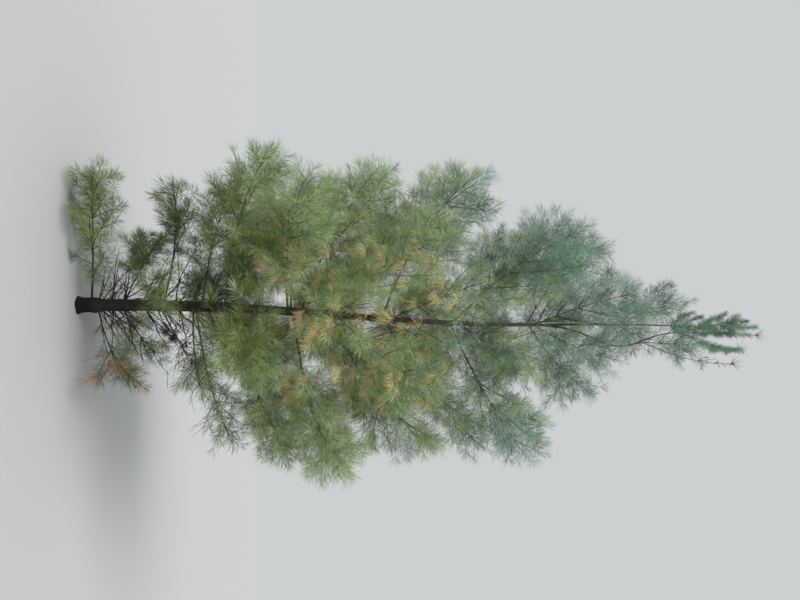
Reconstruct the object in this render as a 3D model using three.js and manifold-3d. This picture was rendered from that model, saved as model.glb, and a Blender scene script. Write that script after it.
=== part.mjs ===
// Eastern white pine, about 6.4 m tall, in millimetres, +Z up.
// The origin is the middle of the flat cut under the trunk, at ground level.
// Azimuths are in degrees seen from above: 0 is +X (right), 90 is +Y (back), 270 is -Y (front).

import * as THREE from 'three';
import Module from 'manifold-3d';

// Trunk: a leaning stem that sways a little and runs up to the top as the straight leader.
const trunk = {
  sides: 12,
  topHeight: 5330,
  leanPerMetre: 45,
  swayRight: 28,
  swayRightPeriod: 4300,
  swayBack: 12,
  swayBackPeriod: 3400,
  backLean: 60,
  backLeanHeight: 1900,
  backLeanPower: 1.5,
  uprightAbove: 5200,
  uprightPull: 34,
  woodRadius: 43,
  leaderRadius: 9.5,
  shoulderRadius: 11,
  taperHeight: 4700,
  taperPower: 1.15,
  tipRadius: 5,
  flareRadius: 17,
  flareHeight: 70,
  flareLobe: 0.3,
  flareLobes: 4,
  flareTurn: 1,
  flareRings: [0, 25, 65, 125, 210, 330],
  ringSpacing: 310,
};

// Second leader: it took over after the first was hurt, swings out to the right and comes back.
const leader = {
  sides: 8,
  forkHeight: 3980,
  topHeight: 5560,
  tipHeight: 6250,
  rootRadius: 12,
  tipRadius: 5,
  leanPerMetre: 53,
  swing: 165,
  swingHeight: 4730,
  swingSpread: 370,
  forward: 90,
  forwardHeight: 250,
  ringSpacing: 150,
};
const trunkTipHeight = 6370;

// Limbs: every bough is bent evenly from the rise at its root to the rise at its tip.
const limb = {
  axisSteps: 24,
  bendPower: 1.3,
  swing: 10,
  topSpread: 0.36,
  leastRootRadius: 5.5,
  radiusPerLength: 0.0085,
  radiusOfTrunk: 0.46,
  tipRadius: 5,
  taperPower: 0.9,
  boughSides: 6,
  boughRings: 4,
  stemSides: 4,
  stemSpacing: 160,
  stagger: 22,
  gap: 0.3,
  cutGap: 0.35,
};

// Twigs: they stand in pairs, a year's growth apart, with smaller ones above and below after the first.
const twig = {
  yearGrowth: 207,
  yearShareOfBough: 0.24,
  years: 7,
  yearVariation: 0.08,
  clearRoot: 25,
  lengthPerReach: 0.66,
  lengthExtra: 150,
  lengthVariation: 0.18,
  longest: 720,
  angle: 50,
  angleVariation: 10,
  rolls: [8, 172, 90, 270],
  lengthShares: [1, 1, 1, 0.7],
  rollVariation: 14,
  lift: 24,
  turnIn: 16,
  spireAngle: 34,
  spireRolls: [0, 90, 180, 270],
  lengthTries: [1, 0.75, 0.52],
  testShares: [0.35, 0.5, 0.65, 0.82, 1],
  axisSteps: 6,
  clearance: 27,
  firstRing: 34,
  seat: 11,
};

// Side shoots stand in pairs on the longer twigs.
const shoot = {
  growth: 340,
  clearShare: 0.2,
  clearLength: 300,
  pairs: 1,
  lengthPerReach: 0.6,
  lengthExtra: 60,
  lengthVariation: 0.15,
  rolls: [28, 152],
  angle: 46,
  angleVariation: 8,
  lift: 14,
  turnIn: 10,
};

// Sprays of needles: broad teeth that stand out of a slim core and point forward.
const spray = {
  coreRadius: 5,
  coreSides: 3,
  spacing: 186,
  greenLength: 640,
  needleLength: 220,
  shortShare: 0.6,
  needleAngle: 56,
  needleVariation: 0.16,
  leastGreen: 0.3,
  spareRing: 0.7,
  pointLength: 90,
  shootPointLength: 140,
  clearance: 4,
};

// A mass keeps to the space that is nearest to its own stem, measured with level distances shortened.
const space = {
  levelShare: 0.5,
  margin: 9,
  trunkClearance: 14,
  groundClearance: 6,
};

// Whorls from the ground up. A bough is [azimuth, length, rise at its root, lift towards its tip,
// share left bare, share of its twigs in needles, and where it isn't 1 the spread of its twigs and
// needles]; the boughs in `limbs` are solids of their own.
const whorls = [
  { name: 'foot', height: 125, boughs: [[72, 820, 8, 12, 0.4, 0.6], [190, 1080, 5, -3, 0.24, 0.8],
    [352, 720, 12, 32, 0.4, 0.9]] },
  { name: 'low', height: 330, boughs: [[20, 600, 22, 25, 0.4, 0.6], [186, 640, 22, 18, 0.3, 1]] },
  { name: 'bare', height: 620, boughs: [[45, 900, 12, 12, 0.45, 0.7], [176, 1040, 14, -22, 0.3, 0.9],
    [258, 540, 10, 18, 0.3, 0.9]] },
  { name: 'skirt', height: 915, boughs: [[2, 1200, 6, 20, 0.3, 1], [95, 1230, 6, 15, 0.26, 1],
    [188, 1150, 8, 14, 0.26, 1], [320, 920, 3, 14, 0.26, 1]] },
  { name: 'reach', height: 1180, boughs: [[8, 1400, 12, 16, 0.22, 1], [60, 1380, 12, 16, 0.22, 1],
    [135, 1420, 10, 18, 0.22, 1], [201, 1420, 5, 24, 0.22, 1], [290, 1120, 8, 20, 0.2, 1]] },
  { name: 'belt', height: 1720, boughs: [[95, 1460, 16, 18, 0.2, 1], [140, 1300, 2, 12, 0.2, 1],
    [180, 1500, 18, 28, 0.28, 1], [222, 1380, -4, 18, 0.2, 1], [270, 1080, 16, 24, 0.2, 1],
    [315, 1390, 36, 30, 0.2, 1], [352, 1500, 6, 22, 0.28, 1]], limbs: [180, 352] },
  { name: 'waist', height: 2070, boughs: [[30, 1360, 22, 20, 0.18, 1], [150, 1380, 22, 22, 0.18, 1],
    [222, 1360, 26, 50, 0.26, 1], [300, 1100, 22, 25, 0.16, 1],
    [354, 1430, 22, 26, 0.2, 1]], limbs: [222] },
  { name: 'chest', height: 2500, boughs: [[75, 1330, 30, 20, 0.16, 1], [180, 1580, 20, 30, 0.26, 1],
    [250, 1040, 30, 25, 0.16, 1], [349, 1440, 28, 20, 0.16, 1]], limbs: [180] },
  { name: 'shoulder', height: 3140, boughs: [[70, 1180, 36, 20, 0.16, 1], [165, 1150, 36, 20, 0.16, 1],
    [212, 1480, 34, 36, 0.26, 1], [296, 900, 35, 25, 0.14, 1], [346, 1370, 20, 12, 0.26, 1]],
    limbs: [212, 346] },
  { name: 'neck', height: 3880, boughs: [[0, 900, 32, 26, 0.14, 1], [92, 860, 40, 22, 0.14, 1],
    [185, 1060, 28, 30, 0.14, 1], [228, 1000, 50, 24, 0.14, 1], [318, 860, 46, 24, 0.14, 1]] },
  { name: 'straight', height: 4800, boughs: [[60, 560, 50, 22, 0.1, 1], [140, 600, 50, 22, 0.1, 1],
    [198, 640, 56, 24, 0.1, 1]] },
  { name: 'crook', onLeader: true, height: 4950, boughs: [[352, 1010, 66, 24, 0.25, 0.6, 0.35],
    [270, 560, 52, 24, 0.1, 1]] },
  { name: 'spire', onLeader: true, height: 5420, boughs: [[0, 660, 58, 38, 0.12, 1, 0.45],
    [225, 600, 66, 20, 0.12, 1, 0.45]] },
];
const directions = [
  'right', 'back_right', 'back', 'back_left', 'left', 'front_left', 'front', 'front_right',
];

// Seeds: one for each mass, and another for the needles on it.
const whorlSeedStep = 101;
const boughSeedStep = 13;
const needleSeedStep = 7;

const barkColour = '#4a433d';
const boughColour = '#5d554c';
const lowNeedle = { colour: '#5f7d4e', height: 1500 };
const highNeedle = { colour: '#5f7a66', height: 4500 };
const barkRoughness = 0.95;
const needleRoughness = 0.6;

const fullTurn = 2 * Math.PI;
const radians = THREE.MathUtils.degToRad;
const wasm = await Module();
wasm.setup();

// Random numbers that are the same on every run.
function seededRandom(seed) {
  const warmUp = 4;
  let state = seed;
  const next = () => {
    state = (state * 1664525 + 1013904223) % 4294967296;
    return state / 4294967296;
  };
  for (let i = 0; i < warmUp; i += 1) {
    next();
  }
  return next;
}

// Axis of the trunk and, above the fork, of the straight leader.
function trunkAxis(height) {
  const sway = trunk.swayRight * Math.sin((fullTurn * height) / trunk.swayRightPeriod);
  const aboveFork = Math.max(0, height - leader.forkHeight) / trunk.backLeanHeight;
  const aboveBend = Math.max(0, height - trunk.uprightAbove) / 1000;
  const x = (trunk.leanPerMetre * height) / 1000 - sway - trunk.uprightPull * aboveBend ** 2;
  const y = trunk.swayBack * Math.sin((fullTurn * height) / trunk.swayBackPeriod)
    + trunk.backLean * aboveFork ** trunk.backLeanPower;
  return new THREE.Vector3(x, y, height);
}

function leaderAxis(height) {
  const fork = trunkAxis(leader.forkHeight);
  const above = height - leader.forkHeight;
  const bend = ((height - leader.swingHeight) / leader.swingSpread) ** 2;
  const x = fork.x + (leader.leanPerMetre * above) / 1000 + leader.swing * Math.exp(-bend);
  const y = fork.y - leader.forward * (1 - Math.exp(-above / leader.forwardHeight));
  return new THREE.Vector3(x, y, height);
}

function trunkRadius(height) {
  const { woodRadius, leaderRadius, shoulderRadius, taperHeight, taperPower, tipRadius } = trunk;
  if (height > leader.forkHeight) {
    const share = (height - leader.forkHeight) / (trunkTipHeight - leader.forkHeight);
    return THREE.MathUtils.lerp(shoulderRadius, tipRadius, share);
  }
  return leaderRadius + woodRadius * Math.max(0, 1 - height / taperHeight) ** taperPower;
}

function leaderRadius(height) {
  const share = (height - leader.forkHeight) / (leader.topHeight - leader.forkHeight);
  return THREE.MathUtils.lerp(leader.rootRadius, leader.tipRadius, share);
}

// Direction from an azimuth and a rise, both in degrees.
function direction(azimuth, rise) {
  const level = Math.cos(radians(rise));
  return new THREE.Vector3(
    Math.cos(radians(azimuth)) * level, Math.sin(radians(azimuth)) * level, Math.sin(radians(rise)));
}

// Axis of a limb or twig: a polyline whose rise and azimuth change evenly from root to tip.
function bentAxis(start, { azimuth, rise, length, lift, swing = 0, steps }) {
  const points = [start.clone()];
  for (let i = 0; i < steps; i += 1) {
    const share = (i + 0.5) / steps;
    const step = direction(azimuth + swing * share, rise + lift * share ** limb.bendPower);
    points.push(points[i].clone().addScaledVector(step, length / steps));
  }
  return { points, length, azimuth, swing };
}

function pointOn(axis, distance) {
  const { points, length } = axis;
  const place = THREE.MathUtils.clamp((distance / length) * (points.length - 1), 0, points.length - 1);
  const i = Math.min(Math.floor(place), points.length - 2);
  return points[i].clone().lerp(points[i + 1], place - i);
}

function tangentOn(axis, distance) {
  const { points, length } = axis;
  const place = THREE.MathUtils.clamp((distance / length) * (points.length - 1), 0, points.length - 1);
  const i = Math.min(Math.floor(place), points.length - 2);
  return points[i + 1].clone().sub(points[i]).normalize();
}

// Level direction to the left of an axis, which stays defined where the axis is upright.
function leftOf(axis, distance) {
  const azimuth = radians(axis.azimuth + (axis.swing * distance) / axis.length);
  return new THREE.Vector3(-Math.sin(azimuth), Math.cos(azimuth), 0);
}

// Direction of a twig that leaves an axis at an angle, rolled about it: 0 is left, 90 is the top.
function branchDirection(axis, distance, angle, roll) {
  const forward = tangentOn(axis, distance);
  const left = leftOf(axis, distance);
  const top = forward.clone().cross(left).normalize();
  const out = left.multiplyScalar(Math.cos(radians(roll))).addScaledVector(top, Math.sin(radians(roll)));
  return forward.multiplyScalar(Math.cos(radians(angle))).addScaledVector(out, Math.sin(radians(angle)));
}

// Twig's own axis, starting on its parent, from the direction it leaves in.
function branchAxis(parent, distance, heading, { length, lift, swing }) {
  const azimuth = THREE.MathUtils.radToDeg(Math.atan2(heading.y, heading.x));
  const rise = THREE.MathUtils.radToDeg(Math.asin(THREE.MathUtils.clamp(heading.z, -1, 1)));
  return bentAxis(pointOn(parent, distance), { azimuth, rise, length, lift, swing, steps: twig.axisSteps });
}

// Point beside an axis, at an angle about it: 0 is its left, a quarter turn is its top.
function besideAxis(axis, distance, angle, radius) {
  const left = leftOf(axis, distance);
  const top = tangentOn(axis, distance).cross(left).normalize();
  return pointOn(axis, distance)
    .addScaledVector(left, radius * Math.cos(angle))
    .addScaledVector(top, radius * Math.sin(angle));
}

function addRing(mesh, { axis, sides }, distance, radius, phase) {
  return Array.from({ length: sides }, (unused, k) => {
    mesh.vertices.push(besideAxis(axis, distance, phase + (fullTurn * k) / sides, radius));
    return mesh.vertices.length - 1;
  });
}

function addCap(mesh, ring, facesBack) {
  for (let k = 1; k < ring.length - 1; k += 1) {
    mesh.triangles.push(facesBack ? [ring[0], ring[k + 1], ring[k]] : [ring[0], ring[k], ring[k + 1]]);
  }
}

// Whether the edge between two points passes through a triangle.
function edgeMeets(from, to, [a, b, c]) {
  const ray = new THREE.Ray(from, to.clone().sub(from).normalize());
  const hit = ray.intersectTriangle(a, b, c, false, new THREE.Vector3());
  return hit !== null && hit.distanceTo(from) < from.distanceTo(to);
}

// Whether any edge of one triangle passes through the other, apart from edges that meet it at a corner.
function trianglesCross(one, other) {
  const edgesMeet = (triangle, target) => triangle.some((from, i) => {
    const to = triangle[(i + 1) % 3];
    return !target.includes(from) && !target.includes(to) && edgeMeets(from, to, target);
  });
  return edgesMeet(one, other) || edgesMeet(other, one);
}

// Raises the side triangles that carry needles: to a shorter point where the long one has no room, and not
// at all where it would cross another needle or twig.
function raiseNeedles(mesh) {
  const { vertices, triangles, needleSeats } = mesh;
  const pointsOf = (triangle) => triangle.map((corner) => vertices[corner]);
  needleSeats.forEach(({ index, branch, distance, angle }) => {
    const corners = triangles[index];
    const base = pointsOf(corners);
    const size = spray.needleLength * branch.spread
      * (1 + spray.needleVariation * (2 * branch.random() - 1));
    const tipAt = (length) => besideAxis(
      branch.axis, distance, angle, length * Math.sin(radians(spray.needleAngle)))
      .addScaledVector(tangentOn(branch.axis, distance), length * Math.cos(radians(spray.needleAngle)));
    const isFree = (tip) => {
      const faces = base.map((corner, i) => [corner, base[(i + 1) % 3], tip]);
      const room = new THREE.Box3().setFromPoints([...base, tip]);
      const touched = triangles.filter((triangle, i) => i !== index
        && room.intersectsBox(new THREE.Box3().setFromPoints(pointsOf(triangle))));
      return touched.every((triangle) => faces.every((face) => !trianglesCross(face, pointsOf(triangle))));
    };
    const tip = [size, spray.shortShare * size].map(tipAt)
      .find((point) => branch.needleFits(point) && isFree(point));
    if (!tip) {
      return;
    }
    vertices.push(tip);
    const apex = vertices.length - 1;
    const faces = corners.map((corner, i) => [corner, corners[(i + 1) % 3], apex]);
    triangles.splice(index, 1, faces[0]);
    triangles.push(faces[1], faces[2]);
  });
}

// Twigs that leave the branch at a ring, each on the free side that faces its roll best.
function seatTwigs(branch, distance, outwardAngles) {
  const seats = new Map();
  branch.twigs.filter((child) => Math.abs(child.place - twig.seat - distance) < 1).forEach((child) => {
    const turnFrom = (k) => Math.cos(outwardAngles[k] - radians(child.roll));
    const free = outwardAngles.map((unused, k) => k).filter((k) => !seats.has(k));
    const side = free.reduce((best, k) => (turnFrom(k) > turnFrom(best) ? k : best));
    seats.set(side, child);
  });
  return seats;
}

// Tube of a branch, from a ring that is there already to its point or flat end. Each ring is turned half a
// side from the last, so every second triangle faces straight out: it carries a twig, a needle or nothing.
function addBranch(mesh, base, branch, basePhase, firstRing) {
  const { stations, radii, sides, green } = branch;
  const halfSide = Math.PI / sides;
  let ring = base;
  let phase = basePhase;
  for (let i = firstRing; i <= stations.length; i += 1) {
    const last = i === stations.length;
    if (last && !branch.pointed) {
      break;
    }
    let next;
    if (last) {
      mesh.vertices.push(pointOn(branch.axis, branch.axis.length));
      next = [mesh.vertices.length - 1];
    } else {
      next = addRing(mesh, branch, stations[i], radii[i], phase + halfSide);
    }
    const distance = stations[i - 1];
    const outward = ring.map((unused, k) => phase + halfSide * (2 * k + 1));
    const seats = seatTwigs(branch, distance, outward);
    ring.forEach((corner, k) => {
      const beside = ring[(k + 1) % sides];
      const ahead = last ? next[0] : next[k];
      const corners = [corner, beside, ahead];
      if (seats.has(k)) {
        addTwig(mesh, corners, seats.get(k));
      } else {
        mesh.triangles.push(corners);
        if (distance >= green && seats.size === 0) {
          mesh.needleSeats.push({ index: mesh.triangles.length - 1, branch, distance, angle: outward[k] });
        }
      }
      if (!last) {
        mesh.triangles.push([beside, next[(k + 1) % sides], ahead]);
      }
    });
    ring = next;
    phase += halfSide;
  }
  if (!branch.pointed) {
    addCap(mesh, ring, false);
  }
}

// Turn of a branch's first ring, nearest to the one wanted, that brings the sides of its seats to face
// left, right and up.
function firstPhase({ sides, seatRing }, wanted) {
  if (seatRing < 0) {
    return wanted;
  }
  const halfSide = Math.PI / sides;
  const atSeat = sides === 3 ? Math.PI / 2 : halfSide;
  const fromSeat = atSeat - halfSide * seatRing - wanted;
  return wanted + fromSeat - 2 * halfSide * Math.round(fromSeat / (2 * halfSide));
}

// Twig raised from three corners of its parent's side, so that the two are one body.
function addTwig(mesh, corners, branch) {
  const { axis, stations, radii } = branch;
  const centre = new THREE.Vector3();
  corners.forEach((corner) => centre.addScaledVector(mesh.vertices[corner], 1 / 3));
  const toCorner = mesh.vertices[corners[0]].clone().sub(centre);
  const left = leftOf(axis, 0);
  const top = tangentOn(axis, 0).cross(left).normalize();
  const straight = Math.atan2(toCorner.dot(top), toCorner.dot(left));
  const phase = firstPhase(branch, straight);
  const ring = addRing(mesh, branch, stations[0], radii[0], phase);
  corners.forEach((corner, k) => {
    const beside = (k + 1) % 3;
    if (phase > straight) {
      mesh.triangles.push([corner, corners[beside], ring[k]], [corners[beside], ring[beside], ring[k]]);
    } else {
      mesh.triangles.push([corner, corners[beside], ring[beside]], [corner, ring[beside], ring[k]]);
    }
  });
  addBranch(mesh, ring, branch, phase, 1);
}

function limbMesh(branch) {
  const mesh = { vertices: [], triangles: [], needleSeats: [] };
  const phase = firstPhase(branch, 0);
  const base = addRing(mesh, branch, branch.stations[0], branch.radii[0], phase);
  addCap(mesh, base, true);
  addBranch(mesh, base, branch, phase, 1);
  raiseNeedles(mesh);
  return mesh;
}

// The rings of the trunk lie level, so that its foot is a flat cut.
function trunkMesh(grow) {
  const { sides, flareRings, ringSpacing, topHeight } = trunk;
  const flareTop = flareRings[flareRings.length - 1];
  const count = Math.round((topHeight - flareTop) / ringSpacing);
  const heights = [...flareRings];
  for (let i = 1; i <= count; i += 1) {
    heights.push(THREE.MathUtils.lerp(flareTop, topHeight, i / count));
  }
  const vertices = [];
  const triangles = [];
  heights.forEach((height) => {
    const centre = trunkAxis(height);
    const flare = trunk.flareRadius * Math.exp(-height / trunk.flareHeight);
    for (let k = 0; k < sides; k += 1) {
      const angle = (fullTurn * k) / sides;
      const lobe = 1 + trunk.flareLobe * Math.cos(trunk.flareLobes * angle + trunk.flareTurn);
      const radius = trunkRadius(height) + flare * lobe + grow;
      vertices.push(new THREE.Vector3(
        centre.x + radius * Math.cos(angle), centre.y + radius * Math.sin(angle), height));
    }
  });
  for (let i = 0; i < heights.length - 1; i += 1) {
    for (let k = 0; k < sides; k += 1) {
      const next = (k + 1) % sides;
      triangles.push([i * sides + k, i * sides + next, (i + 1) * sides + next]);
      triangles.push([i * sides + k, (i + 1) * sides + next, (i + 1) * sides + k]);
    }
  }
  const top = (heights.length - 1) * sides;
  for (let k = 1; k < sides - 1; k += 1) {
    triangles.push([0, k + 1, k], [top, top + k, top + k + 1]);
  }
  return { vertices, triangles };
}

function leaderMesh(grow) {
  const count = Math.round((leader.topHeight - leader.forkHeight) / leader.ringSpacing);
  const points = [];
  for (let i = 0; i <= count; i += 1) {
    points.push(leaderAxis(THREE.MathUtils.lerp(leader.forkHeight, leader.topHeight, i / count)));
  }
  const length = leader.topHeight - leader.forkHeight;
  const axis = { points, length, azimuth: 0, swing: 0 };
  const stations = points.map((point, i) => (length * i) / count);
  const radii = points.map((point) => leaderRadius(point.z) + grow);
  return limbMesh({
    axis, stations, radii, sides: leader.sides, seatRing: -1, pointed: false, green: Infinity, twigs: [],
  });
}

function toSolid({ vertices, triangles }) {
  const vertProperties = new Float32Array(vertices.flatMap((v) => [v.x, v.y, v.z]));
  const triVerts = new Uint32Array(triangles.flat());
  return new wasm.Manifold(new wasm.Mesh({ numProp: 3, vertProperties, triVerts }));
}

// The largest outer skin of a solid: loose scraps go and sealed hollows are filled.
function mainBody(solid) {
  const pieces = solid.decompose();
  return pieces.reduce((best, piece) => (piece.volume() > best.volume() ? piece : best));
}

function toMesh(solid, name, colour, roughness) {
  const { vertProperties, triVerts } = solid.getMesh();
  const geometry = new THREE.BufferGeometry();
  geometry.setAttribute('position', new THREE.BufferAttribute(new Float32Array(vertProperties), 3));
  geometry.setIndex(new THREE.BufferAttribute(new Uint32Array(triVerts), 1));
  geometry.computeVertexNormals();
  const material = new THREE.MeshStandardMaterial({ color: colour, roughness, metalness: 0 });
  const mesh = new THREE.Mesh(geometry, material);
  mesh.name = name;
  return mesh;
}

// All limbs: one for each bough, and the tops of the two leaders. In a whorl, steeper boughs start higher.
function layOutLimbs() {
  const limbs = [];
  whorls.forEach((whorl, w) => {
    const stemAxis = whorl.onLeader ? leaderAxis : trunkAxis;
    const stemRadius = whorl.onLeader ? leaderRadius : trunkRadius;
    const rises = whorl.boughs.map(([, , rise]) => rise);
    whorl.boughs.forEach(([azimuth, length, rise, lift, bare, green, spread = 1], b) => {
      const rank = rises.filter((other, i) => other < rise || (other === rise && i < b)).length;
      const height = whorl.height + limb.stagger * (rank - (rises.length - 1) / 2);
      const word = directions[Math.round(azimuth / 45) % 8];
      const swing = b % 2 === 0 ? -limb.swing : limb.swing;
      const rootRadius = Math.min(
        1 + limb.radiusPerLength * length, limb.radiusOfTrunk * stemRadius(height) + 2);
      limbs.push({
        name: `${whorl.name}_${word}`,
        axis: bentAxis(stemAxis(height), { azimuth, rise, length, lift, swing, steps: limb.axisSteps }),
        rootRadius: Math.max(rootRadius, limb.leastRootRadius),
        bareLength: bare * length,
        green,
        spread,
        ownBough: (whorl.limbs ?? []).includes(azimuth),
        seed: whorlSeedStep * (w + 1) + boughSeedStep * (b + 1),
        height,
      });
    });
  });
  const tops = [
    ['straight_top', trunkAxis, trunk.topHeight, trunkTipHeight, trunkRadius, 3],
    ['crook_top', leaderAxis, leader.topHeight, leader.tipHeight, leaderRadius, 5],
  ];
  tops.forEach(([name, stemAxis, from, to, radius, seed]) => {
    const points = [];
    for (let i = 0; i <= limb.axisSteps; i += 1) {
      points.push(stemAxis(THREE.MathUtils.lerp(from + limb.gap, to, i / limb.axisSteps)));
    }
    limbs.push({
      name,
      axis: { points, length: to - from, azimuth: 0, swing: 0 },
      rootRadius: radius(from),
      bareLength: 0,
      green: 1,
      spread: limb.topSpread,
      upright: true,
      seed,
      height: from,
    });
  });
  return limbs;
}

function limbRadius({ axis, rootRadius }, distance) {
  const share = distance / axis.length;
  return rootRadius * (1 - share) ** limb.taperPower + limb.tipRadius * share;
}

// Distance from a point to an axis, with level distances shortened to a share.
function axisDistance(point, points, levelShare) {
  let nearest = Infinity;
  for (let i = 0; i < points.length - 1; i += 1) {
    const a = points[i];
    const b = points[i + 1];
    const dx = (b.x - a.x) * levelShare;
    const dy = (b.y - a.y) * levelShare;
    const dz = b.z - a.z;
    const px = (point.x - a.x) * levelShare;
    const py = (point.y - a.y) * levelShare;
    const pz = point.z - a.z;
    const share = (px * dx + py * dy + pz * dz) / (dx * dx + dy * dy + dz * dz);
    const along = THREE.MathUtils.clamp(share, 0, 1);
    nearest = Math.min(nearest, Math.hypot(px - dx * along, py - dy * along, pz - dz * along));
  }
  return nearest;
}

// Test of whether a point lies in a limb's own space, above the ground and clear of both stems.
function ownSpace(own, limbs) {
  const others = limbs.filter((other) => other !== own);
  return (point) => {
    if (point.z < space.groundClearance) {
      return false;
    }
    const belowTip = point.z < trunkTipHeight && !own.upright;
    const trunkGap = Math.hypot(point.x - trunkAxis(point.z).x, point.y - trunkAxis(point.z).y);
    if (belowTip && trunkGap < trunkRadius(point.z) + space.trunkClearance) {
      return false;
    }
    const aboveFork = point.z > leader.forkHeight && point.z < leader.tipHeight;
    const leaderGap = Math.hypot(point.x - leaderAxis(point.z).x, point.y - leaderAxis(point.z).y);
    if (aboveFork && leaderGap < leader.rootRadius + space.trunkClearance && own.name !== 'crook_top') {
      return false;
    }
    const ownDistance = axisDistance(point, own.axis.points, space.levelShare) + space.margin;
    return others.every((other) => axisDistance(point, other.axis.points, space.levelShare) > ownDistance);
  };
}

// Test of whether a needle's point is in the mass's space and nearer to its own twig than to the others.
function ownNeedle(axis, axes, allowed) {
  const others = axes.filter((other) => other !== axis);
  return (point) => {
    const ownDistance = axisDistance(point, axis.points, 1) + spray.clearance;
    return others.every((other) => axisDistance(point, other.points, 1) > ownDistance) && allowed(point);
  };
}

// Twigs on a limb, each with its axis, and the side shoots on the longer ones.
function growTwigs(own, allowed) {
  const random = seededRandom(own.seed);
  const { axis } = own;
  const twigs = [];
  const axes = [axis];
  const isClear = (point) => axes.every((other) => axisDistance(point, other.points, 1) > twig.clearance);
  const fits = (branch) => twig.testShares.map((share) => pointOn(branch, share * branch.length))
    .every((point) => allowed(point) && isClear(point));
  const longestThatFits = (parent, place, heading, bend) => twig.lengthTries
    .map((part) => branchAxis(parent, place, heading, { ...bend, length: part * bend.length }))
    .find(fits);
  const vary = (amount) => amount * (2 * random() - 1);
  const growth = Math.min(twig.yearGrowth, twig.yearShareOfBough * axis.length);
  for (let year = 1; year <= twig.years; year += 1) {
    const reach = year * growth * (1 + vary(twig.yearVariation));
    const distance = axis.length - reach;
    if (distance < own.bareLength + twig.clearRoot) {
      break;
    }
    const rolls = own.upright ? twig.spireRolls : twig.rolls;
    rolls.forEach((baseRoll, side) => {
      const crest = !own.upright && side > 1;
      const roll = baseRoll + vary(twig.rollVariation);
      const angle = (own.upright ? twig.spireAngle : twig.angle) + vary(twig.angleVariation);
      const share = own.spread * (own.upright ? 1 : twig.lengthShares[side]);
      const length = share * Math.min(twig.longest, twig.lengthPerReach * reach + twig.lengthExtra)
        * (1 + vary(twig.lengthVariation));
      const green = random() < own.green;
      if (crest && year === 1) {
        return;
      }
      const swing = crest ? 0 : (side === 0 ? -1 : 1) * twig.turnIn;
      const heading = branchDirection(axis, distance, angle, roll);
      const branch = longestThatFits(axis, distance, heading, { length, lift: twig.lift, swing });
      if (!branch) {
        return;
      }
      const child = { axis: branch, green, place: distance, roll, twigs: [] };
      twigs.push(child);
      axes.push(branch);
      for (let pair = 1; pair <= shoot.pairs; pair += 1) {
        const back = pair * shoot.growth;
        const place = branch.length - back;
        if (place < Math.max(shoot.clearLength, shoot.clearShare * branch.length)) {
          break;
        }
        shoot.rolls.forEach((shootRoll, shootSide) => {
          const shootLength = (shoot.lengthPerReach * back + shoot.lengthExtra)
            * (1 + vary(shoot.lengthVariation));
          const turned = shootRoll + vary(twig.rollVariation);
          const shootAngle = shoot.angle + vary(shoot.angleVariation);
          const shootHeading = branchDirection(branch, place, shootAngle, turned);
          const shootSwing = (shootSide === 0 ? -1 : 1) * shoot.turnIn;
          const sideShoot = longestThatFits(
            branch, place, shootHeading, { length: shootLength, lift: shoot.lift, swing: shootSwing });
          if (green && sideShoot) {
            axes.push(sideShoot);
            child.twigs.push({ axis: sideShoot, green, place, roll: turned, twigs: [] });
          }
        });
      }
    });
  }
  return twigs;
}

// Stations of a branch's rings: even ones as far as the first twigs, two close ones where twigs leave it,
// and one more before the point where that is long.
function ringStations(from, tip, spacing, twigs) {
  const seats = [...new Set(twigs.map((child) => child.place))].sort((a, b) => a - b);
  const firstStop = seats.length > 0 ? seats[0] - twig.seat : tip - spray.pointLength;
  const count = Math.max(1, Math.round((firstStop - from) / spacing));
  const stations = Array.from(
    { length: count + 1 }, (unused, i) => THREE.MathUtils.lerp(from, firstStop, i / count));
  seats.forEach((place, i) => {
    stations.push(place + twig.seat);
    if (i + 1 < seats.length) {
      stations.push(seats[i + 1] - twig.seat);
    }
  });
  const rest = tip - stations[stations.length - 1];
  if (seats.length > 0 && rest > spray.pointLength + spray.spareRing * spacing) {
    stations.push(tip - spray.pointLength);
  }
  return { stations, seatRing: seats.length > 0 ? count : -1 };
}

// Rings and needle rule of a twig and of the shoots on it.
function dressTwig(branch, { random, spread, axes, allowed }) {
  const { axis, green, twigs } = branch;
  const { shootPointLength, spacing } = spray;
  const isShort = twigs.length === 0 && axis.length < twig.firstRing + shootPointLength + spacing / 2;
  const rings = isShort ? { stations: [twig.firstRing], seatRing: -1 }
    : ringStations(twig.firstRing, axis.length, spacing, twigs);
  return {
    ...branch,
    ...rings,
    radii: rings.stations.map(() => spray.coreRadius),
    sides: spray.coreSides,
    pointed: true,
    green: green ? Math.max(twig.firstRing, axis.length - spray.greenLength) - 1 : Infinity,
    random,
    spread,
    needleFits: ownNeedle(axis, axes, allowed),
    twigs: twigs.map((child) => dressTwig(child, { random, spread, axes, allowed })),
  };
}

// A mass of foliage: its stem goes on from the bough's tip, or from the trunk, and carries the twigs.
function massMesh(own, allowed) {
  const { axis, ownBough, bareLength, green, spread } = own;
  const random = seededRandom(own.seed + needleSeedStep);
  const twigs = growTwigs(own, allowed);
  const axes = [axis, ...twigs.flatMap((child) => [child.axis, ...child.twigs.map((side) => side.axis)])];
  const from = ownBough ? bareLength + limb.gap : 0;
  const rings = ringStations(from, axis.length, limb.stemSpacing, twigs);
  return limbMesh({
    axis,
    ...rings,
    radii: rings.stations.map((distance) => limbRadius(own, distance)),
    sides: limb.stemSides,
    pointed: true,
    green: green > spray.leastGreen ? Math.max(bareLength, axis.length - spray.greenLength) - 1 : Infinity,
    random,
    spread,
    needleFits: ownNeedle(axis, axes, allowed),
    twigs: twigs.map((child) => dressTwig(child, { random, spread, axes, allowed })),
  });
}

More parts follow.
